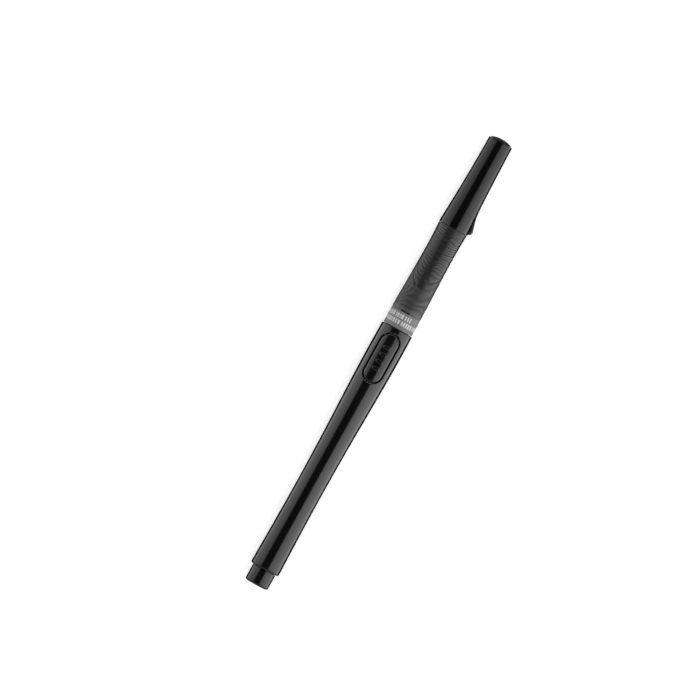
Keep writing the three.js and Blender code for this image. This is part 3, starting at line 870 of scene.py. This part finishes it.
def grip_plastic():
    """Matte grip: painted shade darkens its grooves and the key notch's floor; paler on its rings and
    behind them, glossier in front.
    """
    finish = Finish("grip_plastic", IOR=1.5)
    groove, ring = finish.attribute("groove"), finish.attribute("ring")
    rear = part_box("grip_sleeve")[0].x
    x = finish.add("SeparateXYZ", Vector=finish.place).outputs["X"]
    grain = finish.noise(0.09, detail=3, roughness=0.65)
    drift = finish.noise(2.2, detail=3, stretch=(0.6, 1, 1))
    rim = finish.between(x, rear + GRIP_RIM, rear + GRIP_RIM + 0.25 * MM, 1, 0)
    # Painted shade: the base colour darkens with the groove value.
    shade = finish.math("MULTIPLY_ADD", groove, -0.45, finish.math("MULTIPLY_ADD", drift, 0.5, 0.3))
    behind = finish.between(x, rear + GRIP_PALE, rear + GRIP_PALE + 1 * MM, 0.36, 0.05)
    rim_or_ring = finish.math("MAXIMUM", ring, finish.math("MULTIPLY", rim, 0.7))
    pale = finish.math("MAXIMUM", rim_or_ring, behind)
    # Painted shade as well: the paler tones dim in the grooves.
    pale = finish.math("MULTIPLY", pale, finish.math("MULTIPLY_ADD", groove, -0.5, 1.06))
    dark = finish.tones(shade, grey(0.003), grey(0.02))
    mixed = finish.add("Mix", {"data_type": "RGBA"})
    finish.put(mixed.inputs[0], pale)
    finish.put(mixed.inputs[6], dark)
    finish.put(mixed.inputs[7], finish.tones(grain, grey(0.045), grey(0.075)))
    finish.colour(mixed.outputs[2])
    matte = finish.between(x, rear + GRIP_PALE, rear + GRIP_PALE + 0.8 * MM, 0.46, 0.34)
    gloss = finish.between(x, rear + 12 * MM, rear + 26 * MM, 0.0, -0.12)
    worn = finish.math("ADD", finish.math("ADD", matte, gloss), finish.math("MULTIPLY", groove, 0.15))
    finish.roughness(worn)
    finish.bump(grain, 0.004)
    return finish.material


def band_finish():
    """Matte grey lacquer with a fine speckle."""
    finish = Finish("band_lacquer", IOR=1.45)
    speckle = finish.noise(0.14, detail=4, roughness=0.7)
    finish.colour(finish.tones(speckle, grey(0.094), grey(0.168)))
    finish.roughness(finish.between(speckle, 0.3, 0.7, 0.44, 0.56))
    finish.bump(speckle, 0.004)
    return finish.material


def print_ink():
    """Pale ink, a little mottled."""
    finish = Finish("print_ink", IOR=1.45)
    mottle = finish.noise(0.2, detail=3)
    finish.colour(finish.tones(mottle, grey(0.4), grey(0.52)))
    finish.roughness(finish.between(mottle, 0.3, 0.7, 0.45, 0.6))
    finish.bump(mottle, 0.002)
    return finish.material


def bristle_fibre(name, dark, light, roughness):
    """Fibres that run along the pen, in slightly different greys."""
    finish = Finish(name, IOR=1.5)
    fibre = finish.noise(0.07, detail=2, stretch=(90, 1, 1), roughness=0.6)
    finish.colour(finish.tones(finish.between(fibre, 0.3, 0.7, 0, 1), grey(dark), grey(light)))
    finish.roughness(finish.between(fibre, 0.3, 0.7, roughness * 0.9, roughness * 1.1))
    finish.bump(fibre, 0.006)
    return finish.material


def milky_plastic(name, tone, roughness, clear):
    """Natural polymer, slightly see-through and cloudy."""
    finish = Finish(name, IOR=1.5, Transmission_Weight=clear)
    cloud = finish.noise(2.5, detail=4)
    dark, light = (tone * 0.93, tone * 0.94, tone * 0.92), (tone, tone, tone * 0.98)
    finish.colour(finish.tones(cloud, dark, light))
    finish.roughness(finish.between(cloud, 0.3, 0.7, roughness * 0.85, roughness * 1.15))
    finish.bump(cloud, 0.01)
    return finish.material


def rubber():
    """Black seal rubber with a dull bloom."""
    finish = Finish("seal_rubber", IOR=1.52)
    bloom = finish.noise(0.5, detail=5, roughness=0.65)
    finish.colour(finish.tones(bloom, grey(0.008), grey(0.02)))
    finish.roughness(finish.between(bloom, 0.3, 0.7, 0.55, 0.75))
    finish.bump(bloom, 0.004)
    return finish.material


def floor_white():
    """Matte white, with a glow of its own that keeps the background pale."""
    finish = Finish(
        "floor_white", Roughness=1.0, Specular_IOR_Level=0.0,
        Emission_Color=(1, 1, 1, 1), Emission_Strength=0.33,
    )
    finish.colour(finish.tones(finish.noise(40, detail=2), grey(0.93), grey(0.95)))
    return finish.material


# ---- assembly ------------------------------------------------------------------------------------


def dress(piece, material, body, slot, *nodes):
    """Gives a piece its material and its body, and hides the CAD nodes it stands for."""
    piece.data.materials.clear()
    piece.data.materials.append(material)
    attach(piece, body)
    if nodes:
        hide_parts(*nodes)
    return piece


def build_outside():
    black = gloss_plastic("barrel_gloss", 0.0035, 0.15)
    dress(barrel(), black, "pen_body", "barrel_black", "barrel")
    tail = turned("tail_moulding", "tail_plug", fillet=CRISP_EDGE, shift=SEAM_TRIM)
    dress(tail, black, "pen_body", "barrel_black", "tail_plug")
    dress(pad(), gloss_plastic("pad_gloss", 0.0032, 0.2), "pad", "pad_black", "push_pad")
    cap_gloss = gloss_plastic("cap_gloss", 0.003, 0.14)
    dress(cap(), cap_gloss, "cap", "cap_black", "cap_shell")
    dress(turned("crown_moulding", "cap_crown"), cap_gloss, "cap", "cap_black", "cap_crown")
    dress(clip(), gloss_plastic("clip_gloss", 0.011, 0.4, ior=1.3), "clip", "cap_black", "cap_clip")
    dress(grip(), grip_plastic(), "pen_body", "grip_black", "grip_sleeve")


def build_band():
    band = turned("band_lacquered", "band_ring", fillet=CRISP_EDGE, shift=-SEAM_TRIM)
    dress(band, band_finish(), "pen_body", "band_grey", "band_ring")
    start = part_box("band_ring")[0].x
    ink = print_ink()
    # Name, distance from the band's rear in millimetres, first and last turn in degrees, and seed.
    rows = [("print_row_rear", 2.1, -77, 75, 5), ("print_row_front", 4.2, -77, 31, 9)]
    for name, along, first, last, seed in rows:
        bars = print_row(name, start + along * MM, math.radians(first), math.radians(last), seed)
        dress(bars, ink, "pen_body", "band_grey")


def build_front():
    smoke = gloss_plastic("nose_gloss", 0.006, 0.17)
    dress(turned("nose_moulding", "nose_cone"), smoke, "pen_body", "nose_smoke", "nose_cone")
    collar = gloss_plastic("collar_gloss", 0.004, 0.22)
    dress(turned("collar_moulding", "brush_collar"), collar, "pen_body", "collar_black", "brush_collar")
    fibre = bristle_fibre("bristle_fibre", 0.035, 0.085, 0.75)
    dress(tuft(), fibre, "pen_body", "bristle_grey", "brush_head")


def build_inside():
    milky = milky_plastic("bottle_polymer", 0.75, 0.35, 0.5)
    white = milky_plastic("feed_polymer", 0.68, 0.45, 0.0)
    liner = milky_plastic("liner_polymer", 0.72, 0.4, 0.25)
    seal = rubber()
    dark = satin_plastic("holder_plastic", 0.012, 0.45)
    rod = bristle_fibre("rod_fibre", 0.3, 0.5, 0.85)
    inner = [
        ("bottle_plug", white, "feed_white"), ("check_valve", seal, "seal_rubber"),
        ("feed_holder", dark, "collar_black"), ("feed_comb", white, "feed_white"),
        ("feed_rod", rod, "rod_fibre"),
    ]
    for node, material, slot in inner:
        piece = turned(node + "_fine", node, INNER_SIDES, FINE_EDGE)
        dress(piece, material, "pen_body", slot, node)
    for node in ("nose_o_ring", "neck_o_ring"):
        dress(torus(node + "_fine", node), seal, "pen_body", "seal_rubber", node)
    dress(turned("liner_fine", "inner_cap", INNER_SIDES), liner, "cap", "feed_white", "inner_cap")
    bottle = turned("bottle_fine", "ink_bottle", INNER_SIDES)
    dress(bottle, milky, "pen_body", "bottle_clear", "ink_bottle")
    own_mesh(bottle)


# ---- studio --------------------------------------------------------------------------------------


def build_floor():
    size = 6.0
    mesh = bpy.data.meshes.new("floor")
    low = min(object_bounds()[0].z, 0.0) - 0.01 * MM
    corners = [(-size, -size, low), (size, -size, low), (size, size, low), (-size, size, low)]
    mesh.from_pydata(corners, [], [(0, 1, 2, 3)])
    floor = bpy.data.objects.new("floor", mesh)
    bpy.context.scene.collection.objects.link(floor)
    mesh.materials.append(floor_white())
    floor.visible_glossy = False


BRIGHTEST_X = -0.02  # the walls are brightest here and fade towards both ends of the pen
FADE_REACH = 0.2     # how far from there the fading goes on
WALL_DISTANCE = 0.25 # from the pen's axis to the side walls of the tent
WALL_REACH = 0.5     # half their length
END_DISTANCE = 0.3   # from the pen's middle to the end walls
END_REACH = 0.2


def glow(name, stops):
    """A light wall's material, whose brightness goes through (height, brightness) stops."""
    finish = Finish(name)
    finish.tree.nodes.remove(finish.shader)
    low, high, peak = stops[0][0], stops[-1][0], max(brightness for _, brightness in stops)
    spot = finish.add("SeparateXYZ", Vector=finish.place).outputs
    z, x = spot["Z"], finish.math("SUBTRACT", spot["X"], BRIGHTEST_X)
    ramp = finish.add("ValToRGB", Fac=finish.between(z, low, high, 0, 1))
    elements = ramp.color_ramp.elements
    for i, (height, brightness) in enumerate(stops):
        share = (height - low) / (high - low)
        if i in (0, len(stops) - 1):
            element = elements[0 if i == 0 else -1]
        else:
            element = elements.new(share)
        element.position = share
        element.color = (*grey(brightness / peak), 1)
    fade = finish.between(finish.math("ABSOLUTE", x), 0.0, FADE_REACH, 1.08 * peak, 0.4 * peak)
    fade.node.interpolation_type = "SMOOTHSTEP"
    light = finish.add("Emission", Color=ramp.outputs["Color"], Strength=fade)
    output = finish.tree.nodes["Material Output"]
    finish.tree.links.new(light.outputs["Emission"], output.inputs["Surface"])
    return finish.material


def panel(name, centre, along, stops):
    """An upright light panel, graded over its height, that the camera doesn't see."""
    centre, along = Vector(centre), Vector(along)
    low, high = (Vector((0, 0, stops[i][0])) for i in (0, -1))
    corners = [centre + side + end for side, end in
               ((-along, low), (along, low), (along, high), (-along, high))]
    mesh = bpy.data.meshes.new(name)
    mesh.from_pydata(corners, [], [(0, 1, 2, 3)])
    mesh.materials.append(glow(name + "_glow", stops))
    sheet = bpy.data.objects.new(name, mesh)
    sheet.visible_camera = False
    bpy.context.scene.collection.objects.link(sheet)


def build_lights():
    """Graded side walls of a light tent, open above, with dimmer walls at the ends.

    Each list holds (height in metres, brightness) stops from the foot of a wall to its top.
    """
    clip_side = [
        (-0.16, 2.95), (-0.09, 2.95), (-0.03, 2.6), (0.1, 2.6), (0.2, 2.35), (0.3, 2.1), (0.6, 1.65),
    ]
    far_side = [
        (-0.16, 2.3), (-0.09, 2.2), (-0.03, 1.7), (0.07, 1.75), (0.14, 1.5), (0.24, 1.25), (0.36, 1.0),
    ]
    tail_end = [(0.0, 1.8), (0.1, 1.7), (0.45, 1.3)]
    cap_end = [(-0.4, 0.5), (-0.02, 0.6), (0.05, 1.7), (0.15, 1.6), (0.45, 1.3)]
    panel("tent_clip_side", (0, AXIS.y - WALL_DISTANCE, 0), (WALL_REACH, 0, 0), clip_side)
    panel("tent_far_side", (0, AXIS.y + WALL_DISTANCE, 0), (WALL_REACH, 0, 0), far_side)
    panel("tent_tail_end", (-END_DISTANCE, AXIS.y, 0), (0, END_REACH, 0), tail_end)
    panel("tent_cap_end", (END_DISTANCE, AXIS.y, 0), (0, END_REACH, 0), cap_end)
    world = bpy.data.worlds.new("studio")
    bpy.context.scene.world = world
    world.use_nodes = True
    background = world.node_tree.nodes["Background"]
    background.inputs["Color"].default_value = (1, 1, 1, 1)
    background.inputs["Strength"].default_value = 1.4
    world.cycles_visibility.glossy = False
    bpy.context.scene.view_settings.view_transform = "Standard"


def build_camera():
    """A camera straight above the pen, turned so that the cap points up and to the right."""
    distance = 2.0
    view_width = 700 * 0.3342 * MM  # pixels across the picture, and the size of one on the pen
    aim_x, aim_y = -1.2 * MM, AXIS.y + 10.46 * MM
    data = bpy.data.cameras.new("camera")
    data.sensor_width = 36
    data.lens = data.sensor_width * distance / view_width
    data.clip_start, data.clip_end = 0.01, 20
    camera = bpy.data.objects.new("camera", data)
    camera.location = (aim_x, aim_y, AXIS.z + distance)
    camera.rotation_euler = (0, 0, math.radians(-61.04))
    bpy.context.scene.collection.objects.link(camera)
    bpy.context.scene.camera = camera


build_outside()
build_band()
build_front()
build_inside()
build_floor()
build_lights()
build_camera()
